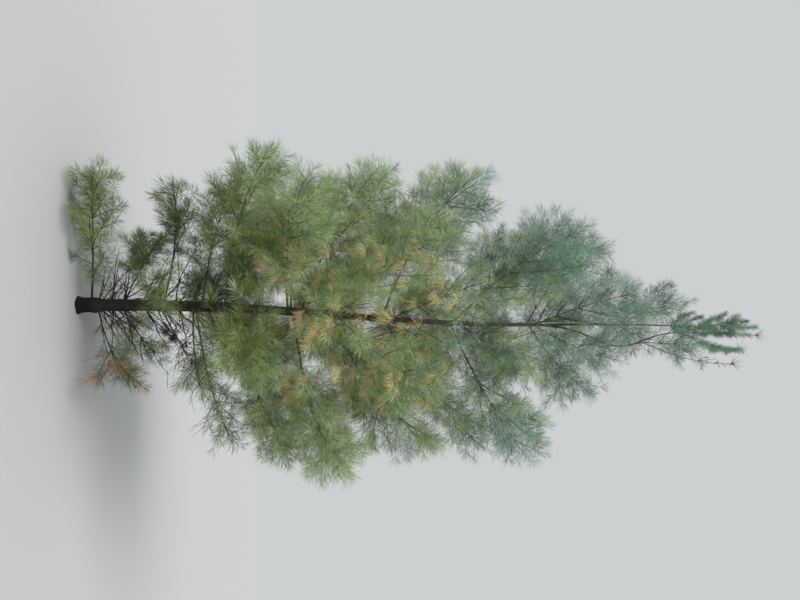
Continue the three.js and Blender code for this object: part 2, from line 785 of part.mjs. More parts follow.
function boughMesh(own) {
  const stations = Array.from(
    { length: limb.boughRings + 1 }, (unused, i) => (own.bareLength * i) / limb.boughRings);
  return limbMesh({
    axis: own.axis,
    stations,
    radii: stations.map((distance) => limbRadius(own, distance)),
    sides: limb.boughSides,
    seatRing: -1,
    pointed: false,
    green: Infinity,
    twigs: [],
  });
}

function needleColour(height) {
  const share = (height - lowNeedle.height) / (highNeedle.height - lowNeedle.height);
  return new THREE.Color(lowNeedle.colour)
    .lerp(new THREE.Color(highNeedle.colour), THREE.MathUtils.clamp(share, 0, 1));
}

function buildTree() {
  const tree = new THREE.Group();
  const trunkSolid = toSolid(trunkMesh(0));
  const trunkRoom = toSolid(trunkMesh(limb.cutGap));
  const leaderRoom = toSolid(leaderMesh(limb.cutGap));
  const stems = trunkRoom.add(leaderRoom);
  tree.add(toMesh(trunkSolid, 'trunk', barkColour, barkRoughness));
  const leaderSolid = mainBody(toSolid(leaderMesh(0)).subtract(trunkRoom));
  tree.add(toMesh(leaderSolid, 'leader', barkColour, barkRoughness));
  const limbs = layOutLimbs();
  limbs.forEach((own) => {
    const allowed = ownSpace(own, limbs);
    if (own.ownBough) {
      const bough = mainBody(toSolid(boughMesh(own)).subtract(stems));
      tree.add(toMesh(bough, `bough_${own.name}`, boughColour, barkRoughness));
    }
    let mass = toSolid(massMesh(own, allowed));
    if (!own.ownBough && !own.upright) {
      mass = mass.subtract(stems);
    }
    tree.add(toMesh(mainBody(mass), `needles_${own.name}`, needleColour(own.height), needleRoughness));
  });
  return tree;
}

export default buildTree();
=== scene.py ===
import math

import bpy
import numpy as np
from mathutils import Matrix, Vector


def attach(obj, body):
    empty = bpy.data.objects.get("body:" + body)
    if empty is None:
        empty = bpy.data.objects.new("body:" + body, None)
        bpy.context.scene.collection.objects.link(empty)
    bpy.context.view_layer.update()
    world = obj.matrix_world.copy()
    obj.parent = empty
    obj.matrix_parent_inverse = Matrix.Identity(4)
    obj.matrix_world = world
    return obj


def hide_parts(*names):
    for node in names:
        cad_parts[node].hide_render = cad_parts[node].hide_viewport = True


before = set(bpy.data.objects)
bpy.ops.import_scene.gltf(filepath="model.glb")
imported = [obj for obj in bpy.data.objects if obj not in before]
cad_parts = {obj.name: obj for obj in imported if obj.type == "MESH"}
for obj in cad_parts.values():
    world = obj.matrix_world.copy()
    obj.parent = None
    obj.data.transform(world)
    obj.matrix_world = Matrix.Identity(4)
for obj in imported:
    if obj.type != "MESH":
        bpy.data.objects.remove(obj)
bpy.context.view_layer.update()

# Young eastern white pine, 6.4 m tall, in early autumn: a forked leader, whorls of boughs, five-needle tufts.
# The growth rule works in millimetres, as the CAD does; addPiece turns them to metres.
metresPerMm = 0.001
mmPerMetre = 1000
fullTurn = 2 * math.pi
goldenShare = 0.381966    # of a turn, from one bundle of needles to the next
seeds = dict(
    whorl=101, bough=13, straight_top=3, crook_top=5,   # the growth rule's own
    relief=20, finer=7919, deadLimbs=41, colours=77,
)

# The growth rule: two stems, the boughs in their whorls, and on each bough the twigs and shoots.
trunkShape = dict(
    topHeight=5330, tipHeight=6370,
    leanPerMetre=45, swayRight=28, swayRightPeriod=4300, swayBack=12, swayBackPeriod=3400,
    backLean=60, backLeanHeight=1900, backLeanPower=1.5,
    uprightAbove=5200, uprightPull=34,
    woodRadius=43, leaderRadius=9.5, shoulderRadius=11, taperHeight=4700, taperPower=1.15,
    tipRadius=5, flareRadius=17, flareHeight=70, flareLobe=0.3, flareLobes=4, flareTurn=1,
)
leaderShape = dict(
    forkHeight=3980, topHeight=5560, tipHeight=6250, rootRadius=12, tipRadius=5,
    leanPerMetre=53, swing=165, swingHeight=4730, swingSpread=370,
    forward=90, forwardHeight=250,
)
limbShape = dict(
    axisSteps=24, bendPower=1.3, swing=10, stagger=22, gap=0.3, topSpread=0.36,
    radiusExtra=1, radiusPerLength=0.0085, radiusOfTrunk=0.46, radiusOverTrunk=2,
    leastRootRadius=5.5,
)
twigShape = dict(
    yearGrowth=207, yearShareOfBough=0.24, years=7, yearVariation=0.08, clearRoot=25,
    lengthPerReach=0.66, lengthExtra=150, lengthVariation=0.18, longest=720,
    angle=50, angleVariation=10, rolls=(8, 172, 90, 270), lengthShares=(1, 1, 1, 0.7),
    rollVariation=14, lift=24, turnIn=16, spireAngle=34, spireRolls=(0, 90, 180, 270),
    lengthTries=(1, 0.75, 0.52), testShares=(0.35, 0.5, 0.65, 0.82, 1), axisSteps=6,
    clearance=27,
)
shootShape = dict(
    fromTip=340, clearShare=0.2, clearLength=300, lengthPerReach=0.6, lengthExtra=60,
    lengthVariation=0.15, rolls=(28, 152), angle=46, angleVariation=8, lift=14, turnIn=10,
)
spaceShape = dict(levelShare=0.5, margin=9, trunkClearance=14, groundClearance=6)

# A bough is (azimuth, length, rise at its root, lift towards its tip, share left bare, and where they aren't
# 1 the share of its twigs in needles and the spread of its twigs).
whorls = {
    "foot": {"height": 125, "boughs": (
        (72, 820, 8, 12, 0.4, 0.6), (190, 1080, 5, -3, 0.24, 0.8), (352, 720, 12, 32, 0.4, 0.9))},
    "low": {"height": 330, "boughs": ((20, 600, 22, 25, 0.4, 0.6), (186, 640, 22, 18, 0.3))},
    "bare": {"height": 620, "boughs": (
        (45, 900, 12, 12, 0.45, 0.7), (176, 1040, 14, -22, 0.3, 0.9), (258, 540, 10, 18, 0.3, 0.9))},
    "skirt": {"height": 915, "boughs": (
        (2, 1200, 6, 20, 0.3), (95, 1230, 6, 15, 0.26), (188, 1150, 8, 14, 0.26), (320, 920, 3, 14, 0.26))},
    "reach": {"height": 1180, "boughs": (
        (8, 1400, 12, 16, 0.22), (60, 1380, 12, 16, 0.22), (135, 1420, 10, 18, 0.22),
        (201, 1420, 5, 24, 0.22), (290, 1120, 8, 20, 0.2))},
    "belt": {"height": 1720, "limbs": (180, 352), "boughs": (
        (95, 1460, 16, 18, 0.2), (140, 1300, 2, 12, 0.2), (180, 1500, 18, 28, 0.28), (222, 1380, -4, 18, 0.2),
        (270, 1080, 16, 24, 0.2), (315, 1390, 36, 30, 0.2), (352, 1500, 6, 22, 0.28))},
    "waist": {"height": 2070, "limbs": (222,), "boughs": (
        (30, 1360, 22, 20, 0.18), (150, 1380, 22, 22, 0.18), (222, 1360, 26, 50, 0.26),
        (300, 1100, 22, 25, 0.16), (354, 1430, 22, 26, 0.2))},
    "chest": {"height": 2500, "limbs": (180,), "boughs": (
        (75, 1330, 30, 20, 0.16), (180, 1580, 20, 30, 0.26), (250, 1040, 30, 25, 0.16),
        (349, 1440, 28, 20, 0.16))},
    "shoulder": {"height": 3140, "limbs": (212, 346), "boughs": (
        (70, 1180, 36, 20, 0.16), (165, 1150, 36, 20, 0.16), (212, 1480, 34, 36, 0.26),
        (296, 900, 35, 25, 0.14), (346, 1370, 20, 12, 0.26))},
    "neck": {"height": 3880, "boughs": (
        (0, 900, 32, 26, 0.14), (92, 860, 40, 22, 0.14), (185, 1060, 28, 30, 0.14), (228, 1000, 50, 24, 0.14),
        (318, 860, 46, 24, 0.14))},
    "straight": {"height": 4800, "boughs": (
        (60, 560, 50, 22, 0.1), (140, 600, 50, 22, 0.1), (198, 640, 56, 24, 0.1))},
    "crook": {"height": 4950, "onLeader": True, "boughs": (
        (352, 1010, 66, 24, 0.25, 0.6, 0.35), (270, 560, 52, 24, 0.1))},
    "spire": {"height": 5420, "onLeader": True, "boughs": (
        (0, 660, 58, 38, 0.12, 1, 0.45), (225, 600, 66, 20, 0.12, 1, 0.45))},
}
directionWords = ("right", "back_right", "back", "back_left", "left", "front_left", "front", "front_right")


# The same generator as in the source, so that both grow the same twigs.
randomRule = dict(factor=1664525, step=1013904223, range=2 ** 32, warmUp=4)


def seededRandom(seed):
    rule = randomRule
    state = [seed]

    def draw():
        state[0] = (state[0] * rule["factor"] + rule["step"]) % rule["range"]
        return state[0] / rule["range"]

    for _ in range(rule["warmUp"]):  # the first few draws of small seeds are alike
        draw()
    return draw


def vary(amount, draw):
    return amount * (2 * draw() - 1)


def between(limits, share):
    return limits[0] + (limits[1] - limits[0]) * share


def trunkAxis(height):
    s = trunkShape
    sway = s["swayRight"] * math.sin(fullTurn * height / s["swayRightPeriod"])
    aboveFork = max(0, height - leaderShape["forkHeight"]) / s["backLeanHeight"]
    aboveBend = max(0, height - s["uprightAbove"]) / mmPerMetre
    x = s["leanPerMetre"] * height / mmPerMetre - sway - s["uprightPull"] * aboveBend ** 2
    y = s["swayBack"] * math.sin(fullTurn * height / s["swayBackPeriod"]) \
        + s["backLean"] * aboveFork ** s["backLeanPower"]
    return np.array((x, y, height))


def leaderAxis(height):
    s = leaderShape
    fork = trunkAxis(s["forkHeight"])
    above = height - s["forkHeight"]
    bend = ((height - s["swingHeight"]) / s["swingSpread"]) ** 2
    x = fork[0] + s["leanPerMetre"] * above / mmPerMetre + s["swing"] * math.exp(-bend)
    y = fork[1] - s["forward"] * (1 - math.exp(-above / s["forwardHeight"]))
    return np.array((x, y, height))


def trunkRadius(height):
    s = trunkShape
    if height > leaderShape["forkHeight"]:
        share = (height - leaderShape["forkHeight"]) / (s["tipHeight"] - leaderShape["forkHeight"])
        return s["shoulderRadius"] + (s["tipRadius"] - s["shoulderRadius"]) * share
    return s["leaderRadius"] + s["woodRadius"] * max(0, 1 - height / s["taperHeight"]) ** s["taperPower"]


def leaderRadius(height):
    s = leaderShape
    share = (height - s["forkHeight"]) / (s["topHeight"] - s["forkHeight"])
    return s["rootRadius"] + (s["tipRadius"] - s["rootRadius"]) * share


def unit(vector):
    return vector / np.linalg.norm(vector)


def unitRows(vectors):
    return vectors / np.linalg.norm(vectors, axis=1)[:, None]


def bentAxis(start, azimuth, rise, length, lift, swing, steps):
    share = (np.arange(steps) + 0.5) / steps
    turn = np.radians(azimuth + swing * share)
    slope = np.radians(rise + lift * share ** limbShape["bendPower"])
    step = np.stack((np.cos(turn) * np.cos(slope), np.sin(turn) * np.cos(slope), np.sin(slope)), 1)
    points = np.vstack((start, start + np.cumsum(step * length / steps, 0)))
    return {"points": points, "length": length, "azimuth": azimuth, "swing": swing}


def placeOn(axis, distance):
    last = len(axis["points"]) - 1
    place = min(max(distance / axis["length"] * last, 0), last)
    i = min(int(place), last - 1)
    return i, place - i


def pointOn(axis, distance):
    i, rest = placeOn(axis, distance)
    return axis["points"][i] * (1 - rest) + axis["points"][i + 1] * rest


def tangentOn(axis, distance):
    i, _ = placeOn(axis, distance)
    return unit(axis["points"][i + 1] - axis["points"][i])


def leftOf(axis, distance):
    azimuth = math.radians(axis["azimuth"] + axis["swing"] * distance / axis["length"])
    return np.array((-math.sin(azimuth), math.cos(azimuth), 0))


def branchFrom(parent, distance, angle, roll, length, lift, swing):
    # roll 0 leaves to the left, 90 from the top
    forward = tangentOn(parent, distance)
    left = leftOf(parent, distance)
    top = unit(np.cross(forward, left))
    out = left * math.cos(math.radians(roll)) + top * math.sin(math.radians(roll))
    heading = forward * math.cos(math.radians(angle)) + out * math.sin(math.radians(angle))
    azimuth = math.degrees(math.atan2(heading[1], heading[0]))
    rise = math.degrees(math.asin(min(max(heading[2], -1), 1)))
    return bentAxis(pointOn(parent, distance), azimuth, rise, length, lift, swing, twigShape["axisSteps"])


def layOutLimbs():
    s = limbShape
    limbs = []
    for w, (whorlName, whorl) in enumerate(whorls.items()):
        stemAxis = leaderAxis if whorl.get("onLeader") else trunkAxis
        stemRadius = leaderRadius if whorl.get("onLeader") else trunkRadius
        rises = [bough[2] for bough in whorl["boughs"]]
        for b, (azimuth, length, rise, lift, bare, *shares) in enumerate(whorl["boughs"]):
            green, spread = (*shares, 1, 1)[:2]
            rank = sum(1 for i, other in enumerate(rises) if other < rise or (other == rise and i < b))
            height = whorl["height"] + s["stagger"] * (rank - (len(rises) - 1) / 2)
            word = directionWords[round(azimuth * len(directionWords) / 360) % len(directionWords)]
            swing = s["swing"] * (-1 if b % 2 == 0 else 1)
            root = min(s["radiusExtra"] + s["radiusPerLength"] * length,
                       s["radiusOfTrunk"] * stemRadius(height) + s["radiusOverTrunk"])
            limbs.append({
                "name": f"{whorlName}_{word}", "whorl": whorlName, "height": height,
                "axis": bentAxis(stemAxis(height), azimuth, rise, length, lift, swing, s["axisSteps"]),
                "rootRadius": max(root, s["leastRootRadius"]), "bareLength": bare * length,
                "green": green, "spread": spread, "upright": False,
                "ownBough": azimuth in whorl.get("limbs", ()),
                "seed": seeds["whorl"] * (w + 1) + seeds["bough"] * (b + 1),
            })
    tops = (("straight_top", trunkAxis, trunkRadius, trunkShape),
            ("crook_top", leaderAxis, leaderRadius, leaderShape))
    for name, stemAxis, stemRadius, stem in tops:
        low, high = stem["topHeight"], stem["tipHeight"]
        heights = np.linspace(low + s["gap"], high, s["axisSteps"] + 1)
        points = np.array([stemAxis(h) for h in heights])
        limbs.append({
            "name": name, "whorl": "top", "height": low,
            "axis": {"points": points, "length": high - low, "azimuth": 0, "swing": 0},
            "rootRadius": stemRadius(low), "bareLength": 0, "green": 1, "spread": s["topSpread"],
            "upright": True, "ownBough": False, "seed": seeds[name],
        })
    return limbs


def distancesTo(point, starts, ends):
    along = ends - starts
    offset = point - starts
    share = np.clip((offset * along).sum(1) / (along * along).sum(1), 0, 1)
    return np.sqrt(((offset - along * share[:, None]) ** 2).sum(1))


def ownSpace(own, limbs):
    # a limb keeps to the space nearest to its own axis, above the ground and clear of both stems
    level = np.array((spaceShape["levelShare"], spaceShape["levelShare"], 1))
    ownPoints = own["axis"]["points"] * level
    others = [limb["axis"]["points"] * level for limb in limbs if limb is not own]
    otherStarts = np.concatenate([points[:-1] for points in others])
    otherEnds = np.concatenate([points[1:] for points in others])

    def touches(point, stemAxis, radius):
        return math.hypot(*(point - stemAxis(point[2]))[:2]) < radius + spaceShape["trunkClearance"]

    def allowed(point):
        if point[2] < spaceShape["groundClearance"]:
            return False
        if point[2] < trunkShape["tipHeight"] and not own["upright"]:
            if touches(point, trunkAxis, trunkRadius(point[2])):
                return False
        if leaderShape["forkHeight"] < point[2] < leaderShape["tipHeight"] and own["name"] != "crook_top":
            if touches(point, leaderAxis, leaderShape["rootRadius"]):
                return False
        near = distancesTo(point * level, ownPoints[:-1], ownPoints[1:]).min() + spaceShape["margin"]
        return distancesTo(point * level, otherStarts, otherEnds).min() > near

    return allowed


def growTwigs(own, allowed):
    draw = seededRandom(own["seed"])
    axis = own["axis"]
    t, s = twigShape, shootShape
    twigs = []
    axes = [axis]

    def fits(branch):
        starts = np.concatenate([other["points"][:-1] for other in axes])
        ends = np.concatenate([other["points"][1:] for other in axes])
        for share in t["testShares"]:
            point = pointOn(branch, share * branch["length"])
            if not allowed(point) or distancesTo(point, starts, ends).min() <= t["clearance"]:
                return False
        return True

    def longestThatFits(parent, place, angle, roll, length, lift, swing):
        for part in t["lengthTries"]:
            branch = branchFrom(parent, place, angle, roll, part * length, lift, swing)
            if fits(branch):
                return branch
        return None

    growth = min(t["yearGrowth"], t["yearShareOfBough"] * axis["length"])
    for year in range(1, t["years"] + 1):
        reach = year * growth * (1 + vary(t["yearVariation"], draw))
        distance = axis["length"] - reach
        if distance < own["bareLength"] + t["clearRoot"]:
            break
        for side, baseRoll in enumerate(t["spireRolls"] if own["upright"] else t["rolls"]):
            crest = not own["upright"] and side > 1
            roll = baseRoll + vary(t["rollVariation"], draw)
            angle = (t["spireAngle"] if own["upright"] else t["angle"]) + vary(t["angleVariation"], draw)
            share = own["spread"] * (1 if own["upright"] else t["lengthShares"][side])
            length = share * min(t["longest"], t["lengthPerReach"] * reach + t["lengthExtra"]) \
                * (1 + vary(t["lengthVariation"], draw))
            green = draw() < own["green"]
            if crest and year == 1:
                continue
            swing = 0 if crest else (-1 if side == 0 else 1) * t["turnIn"]
            branch = longestThatFits(axis, distance, angle, roll, length, t["lift"], swing)
            if branch is None:
                continue
            twig = {"axis": branch, "green": green, "shoots": []}
            twigs.append(twig)
            axes.append(branch)
            place = branch["length"] - s["fromTip"]
            if place < max(s["clearLength"], s["clearShare"] * branch["length"]):
                continue
            for shootSide, baseRoll in enumerate(s["rolls"]):
                length = (s["lengthPerReach"] * s["fromTip"] + s["lengthExtra"]) \
                    * (1 + vary(s["lengthVariation"], draw))
                roll = baseRoll + vary(t["rollVariation"], draw)
                angle = s["angle"] + vary(s["angleVariation"], draw)
                swing = (-1 if shootSide == 0 else 1) * s["turnIn"]
                shoot = longestThatFits(branch, place, angle, roll, length, s["lift"], swing)
                if green and shoot is not None:
                    axes.append(shoot)
                    twig["shoots"].append(shoot)
    return twigs


# Beyond the rule above: finer shoots wherever a mass has room left, in the same space and the same reach.
# For each kind of parent: mm between tries, length for each mm left to its tip, extra length, longest,
# room to keep from other wood, and the kind of shoot that grows.
finerKinds = {
    "stem": (34, 0.42, 120, 560, 74, "finer"),
    "twig": (40, 0.5, 95, 330, 54, "last"),
    "shoot": (40, 0.5, 95, 300, 54, "last"),
    "finer": (40, 0.5, 95, 300, 54, "last"),
    "last": (46, 0.5, 80, 200, 50, "end"),
}
finerGrowth = dict(
    angle=46, angleVariation=16, lift=16, turnIn=12, lengthTries=(1, 0.72, 0.5),
    turnStep=137.5, turnVariation=20, leastLength=0.8, moreLength=0.4,
    leastSpacing=0.75, moreSpacing=0.5, clearRoot=44, clearTip=26, testShares=(0.55, 0.8, 1),
    innerShare=0.45,       # they start at this share of a bough's bare length
    bareWhorls=("foot", "low", "bare"),   # here they start where the bare length ends
    backAzimuths=(45, 150), backShare=0.1,   # boughs that close the crown at the back
    starts={"foot_left": 0.2, "low_left": 0.6},   # and where it isn't the usual share
    openBelow=0.25,        # share of a bough with no finer shoots under it
    under=-0.2,            # sine of the roll from which a shoot counts as under it
    spreads={"foot_left": 0.8, "spire_right": 1.2, "straight_left": 0.8},   # longer or shorter than usual
    without="crook_right",
    deadShare=0.05,        # finer shoots that have died and hold no needles
)


def spineOf(axis):
    # the axis's points and the ones half-way between, to keep new shoots clear of
    points = axis["points"]
    return np.concatenate((points, (points[:-1] + points[1:]) / 2))


def isBehind(own):
    first, last = finerGrowth["backAzimuths"]
    return own["whorl"] not in finerGrowth["bareWhorls"] and first < own["axis"]["azimuth"] < last


def firstShoot(own):
    f = finerGrowth
    usual = 1 if own["whorl"] in f["bareWhorls"] else f["backShare"] if isBehind(own) else f["innerShare"]
    return f["starts"].get(own["name"], usual) * own["bareLength"]


def growFiner(parent, own, start, allowed, taken, draw):
    f = finerGrowth
    spacing, perReach, extra, longest, room, child = finerKinds[parent["kind"]]
    axis = parent["axis"]
    root = own["axis"]["points"][0]
    farthest = np.linalg.norm(own["axis"]["points"][-1] - root)
    spread = own["spread"] * f["spreads"].get(own["name"], 1)
    openTo = 0 if parent["kind"] != "stem" or isBehind(own) else axis["length"] * f["openBelow"]
    found = []
    distance = start + spacing * draw()
    roll = 360 * draw()
    while distance < axis["length"] - f["clearTip"]:
        reach = axis["length"] - distance
        length = spread * (f["leastLength"] + f["moreLength"] * draw()) \
            * min(longest, perReach * reach + extra)
        angle = f["angle"] + vary(f["angleVariation"], draw)
        dead = draw() < f["deadShare"]
        swing = vary(f["turnIn"], draw)
        for part in f["lengthTries"]:
            if distance < openTo and math.sin(math.radians(roll)) < f["under"]:
                break
            branch = branchFrom(axis, distance, angle, roll, part * length, f["lift"], swing)
            tests = [pointOn(branch, share * branch["length"]) for share in f["testShares"]]
            if min(((taken[0] - point) ** 2).sum(1).min() for point in tests) < room ** 2:
                continue
            if np.linalg.norm(tests[-1] - root) > farthest and not own["upright"]:
                continue
            if all(allowed(point) for point in tests):
                green = parent["green"] and not dead
                found.append({"axis": branch, "kind": child, "from": 0, "green": green})
                taken[0] = np.concatenate((taken[0], spineOf(branch)))
                break
        distance += spacing * (f["leastSpacing"] + f["moreSpacing"] * draw())
        roll += f["turnStep"] + vary(f["turnVariation"], draw)
    return found


def colour(hexValue):
    # sRGB hex to linear
    parts = [int(hexValue[i:i + 2], 16) / 255 for i in (1, 3, 5)]
    return (*[p / 12.92 if p <= 0.04045 else ((p + 0.055) / 1.055) ** 2.4 for p in parts], 1)


def addNode(tree, kind, settings=None, links=None):
    # a node given as a link stands for its first output
    node = tree.nodes.new("ShaderNode" + kind)
    for key, value in (settings or {}).items():
        if isinstance(key, int) or key in node.inputs:
            node.inputs[key].default_value = value
        else:
            setattr(node, key, value)
    for key, source in (links or {}).items():
        tree.links.new(getattr(source, "outputs", [source])[0], node.inputs[key])
    return node


def startMaterial(name):
    material = bpy.data.materials.new(name)
    material.use_nodes = True
    material.node_tree.nodes.clear()
    return material, material.node_tree


def setRamp(node, stops):
    elements = node.color_ramp.elements
    while len(elements) < len(stops):
        elements.new(0.5)
    for element, (place, hexValue) in zip(elements, stops):
        element.position = place
        element.color = colour(hexValue)


def addPiece(name, solid, material, nodes, smooth=True):
    mesh = bpy.data.meshes.new(name)
    vertices = np.asarray(solid[0], np.float32) * metresPerMm
    triangles = np.asarray(solid[1], np.int32)
    mesh.vertices.add(len(vertices))
    mesh.vertices.foreach_set("co", vertices.ravel())
    mesh.loops.add(triangles.size)
    mesh.loops.foreach_set("vertex_index", triangles.ravel())
    mesh.polygons.add(len(triangles))
    mesh.polygons.foreach_set("loop_start", np.arange(0, triangles.size, 3, dtype=np.int32))
    mesh.update(calc_edges=True)
    mesh.validate()
    mesh.polygons.foreach_set("use_smooth", np.full(len(mesh.polygons), smooth))
    mesh.materials.append(material)
    piece = bpy.data.objects.new(name, mesh)
    bpy.context.scene.collection.objects.link(piece)
    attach(piece, "root")
    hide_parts(*nodes)
    print(f"  {name}: {len(triangles)} triangles")


def wallTriangles(rings, sides):
    i = np.arange(rings - 1)[:, None] * sides
    k = np.arange(sides)[None, :]
    a, b = i + k, i + (k + 1) % sides
    c, d = a + sides, b + sides
    return np.concatenate((np.stack((a, b, d), -1).reshape(-1, 3), np.stack((a, d, c), -1).reshape(-1, 3)))


def tubeMesh(points, radii, sides, turn):
    # rings square to the path, ending in a point; one radius for each ring, or one for each point on it
    points = np.asarray(points, float)
    tangents = unitRows(np.gradient(points, axis=0))
    level = np.array((-tangents[0][1], tangents[0][0], 0.0))
    if np.linalg.norm(level) < woodShape["nearlyUpright"]:
        level = np.array((1.0, 0.0, 0.0))
    across = unitRows(level - tangents * (tangents @ level)[:, None])
    above = np.cross(tangents, across)
    angles = turn + fullTurn * np.arange(sides) / sides
    ring = across[:, None, :] * np.cos(angles)[None, :, None] \
        + above[:, None, :] * np.sin(angles)[None, :, None]
    radii = np.asarray(radii).reshape(len(points), -1, 1)
    vertices = (points[:, None, :] + ring * radii).reshape(-1, 3)
    last, tip = (len(points) - 1) * sides, len(vertices)
    vertices = np.vstack((vertices, points[-1] + tangents[-1] * radii[-1].mean()))
    side = np.arange(sides)
    cap = np.stack((last + side, last + (side + 1) % sides, np.full(sides, tip)), -1)
    return vertices, np.concatenate((wallTriangles(len(points), sides), cap))


def joined(meshes):
    # many small meshes as one
    firsts = np.cumsum([0] + [len(vertices) for vertices, _ in meshes[:-1]])
    return (np.concatenate([vertices for vertices, _ in meshes]),
            np.concatenate([triangles + first for (_, triangles), first in zip(meshes, firsts)]))


def smoothNoise(rng, around, up, cellsAround, cellsUp):
    # value noise that closes on itself around the stem
    grid = rng.random((cellsUp + 2, cellsAround))
    a = around * cellsAround
    u = np.clip(up, 0, 1) * cellsUp
    ai, ui = np.floor(a).astype(int), np.floor(u).astype(int)
    fa, fu = a - ai, u - ui
    fa, fu = fa * fa * (3 - 2 * fa), fu * fu * (3 - 2 * fu)
    a0, a1 = ai % cellsAround, (ai + 1) % cellsAround
    low = grid[ui, a0] * (1 - fa) + grid[ui, a1] * fa
    high = grid[ui + 1, a0] * (1 - fa) + grid[ui + 1, a1] * fa
    return low * (1 - fu) + high * fu


limbs = layOutLimbs()
rng = np.random.default_rng(seeds["relief"])

# Each whorl belongs to one zone of the crown; a piece made for a zone stands for the masses in it.
zones = {
    "Lower": ("foot", "low", "bare", "skirt", "reach"),
    "Middle": ("belt", "waist", "chest"),
    "Upper": ("shoulder", "neck", "straight", "crook", "spire", "top"),
}
zoneOfWhorl = {whorl: zone for zone, names in zones.items() for whorl in names}
massesOfZone = {
    zone: sorted(f"needles_{limb['name']}" for limb in limbs if limb["whorl"] in names)
    for zone, names in zones.items()}

# Trunk and leader: cracks along the stem near the foot, shallow plates, a swollen collar round each bough.
trunkBark = dict(
    sides=72, ringSpacing=14, leaderSides=24, leaderSpacing=10,   # mm
    furrows=(24, 13), plates=(12, 30), grain=(40, 80), burls=(9, 24),   # round it, for each metre
    furrowDepth=2.4, furrowFade=1500, furrowSharpness=3, furrowWander=0.02, furrowWave=60,
    plateDepth=1.1, plateRadius=50, plateShares=(0.3, 0.7), grainDepth=0.35,
    collar=0.42, collarHeight=26, collarRise=4, collarTightness=5,
    swelling=0.05, swellingTightness=0.8,   # all round the stem at each bough
    wrinkle=0.5, wrinkleDrop=1.6, wrinkleTightness=0.9, wrinkleWave=3.2,
    burlHeight=132, burlDepth=9, burlSpread=34, burlLeast=0.2,   # knobs at the lowest whorl
)


def bell(x):
    return np.exp(-x ** 2)


def stemMesh(stemAxis, stemRadius, low, high, sides, spacing, whorlLimbs, flare):
    t, s = trunkBark, trunkShape
    count = int((high - low) / spacing)
    heights = np.linspace(low, high, count + 1)
    centres = np.array([stemAxis(h) for h in heights])
    height, angle = np.meshgrid(heights, fullTurn * np.arange(sides) / sides, indexing="ij")
    radius = np.array([stemRadius(h) for h in heights])[:, None] * np.ones_like(angle)
    size = radius / t["plateRadius"]
    if flare:
        radius += s["flareRadius"] * np.exp(-height / s["flareHeight"]) \
            * (1 + s["flareLobe"] * np.cos(s["flareLobes"] * angle + s["flareTurn"]))
    around, up = angle / fullTurn, (height - low) / (high - low)
    metres = (high - low) / mmPerMetre

    def noise(kind, shift=0):
        cellsAround, perMetre = t[kind]
        return smoothNoise(rng, around + shift, up, cellsAround, int(metres * perMetre))

    wander = t["furrowWander"] * np.sin(height / t["furrowWave"])
    furrows = np.abs(2 * noise("furrows", wander) - 1)
    fade = np.exp(-height / t["furrowFade"])
    least, more = t["plateShares"]
    radius -= t["furrowDepth"] * fade * (1 - furrows) ** t["furrowSharpness"]
    radius += t["plateDepth"] * (least + more * fade) * size * (2 * noise("plates") - 1)
    radius += t["grainDepth"] * (noise("grain") - 0.5)
    if flare:
        burl = bell((height - t["burlHeight"]) / t["burlSpread"])
        radius += t["burlDepth"] * burl * (t["burlLeast"] + noise("burls"))
    for limb in whorlLimbs:
        # a swollen collar round each bough's root, and wrinkles under it
        away = 1 - np.cos(angle - math.radians(limb["axis"]["azimuth"]))
        rise = (height - limb["height"] - t["collarRise"]) / t["collarHeight"]
        root = limb["rootRadius"]
        radius += t["collar"] * root * bell(rise) * np.exp(-away * t["collarTightness"])
        radius += t["swelling"] * root * bell(rise * t["swellingTightness"])
        fold = bell((rise + t["wrinkleDrop"]) * t["wrinkleTightness"])
        radius += t["wrinkle"] * fold * np.sin(height / t["wrinkleWave"])
    x, y = centres[:, 0:1] + radius * np.cos(angle), centres[:, 1:2] + radius * np.sin(angle)
    vertices = np.stack((x, y, height), -1).reshape(-1, 3)
    bottom, top = len(vertices), len(vertices) + 1
    vertices = np.vstack((vertices, centres[0], centres[-1]))
    ring = np.arange(sides)
    following = (ring + 1) % sides
    last = count * sides
    triangles = np.concatenate((
        wallTriangles(count + 1, sides), np.stack((following, ring, np.full(sides, bottom)), -1),
        np.stack((last + ring, last + following, np.full(sides, top)), -1)))
    return vertices, triangles


# Bark colours from the foot up, the colour of its lichen patches and how much of them it has, and the width
# of one crack's cell in mm, drawn wider than life so that it shows.
barkKinds = {
    "PineBarkTrunk": (("#0c0b0a", "#433931", "#474c41", "#6c7566"), "#6c6a5b", 0.5, 6),
    "PineBarkBoughs": (("#2a2420", "#4a4138", "#655b4d", "#7c735f"), "#a09a88", 0.6, 4),
    "PineBarkTwigs": (("#332d26", "#4d473b", "#76725a", "#87866c"), "#a3a18a", 0.5, 4),
    "DeadPineTwigs": (("#1f1a17", "#332b27", "#332b27", "#332b27"), "#574e45", 0.4, 4),
}
barkLook = dict(
    height=5200,   # mm; each share of it has one of the colours above
    # the first, darkest colour takes the lowest 9 cm of every piece of wood and fades out by 18 cm
    bands=((0, 0), (0.018, 0), (0.034, 1), (0.12, 1), (0.3, 2), (0.7, 3)),
    patchSize=77, patchFrom=0.42, patchTo=0.68, cleanTo=0.035, patchyFrom=0.09,
    stretch=0.22, streaks=((0.34, "#4a4a4a"), (0.5, "#c8c8c8"), (0.7, "#ffffff")), streakShare=0.85,
    bump=0.5, bumpDepth=2, roughness=0.93, ior=1.45,
)


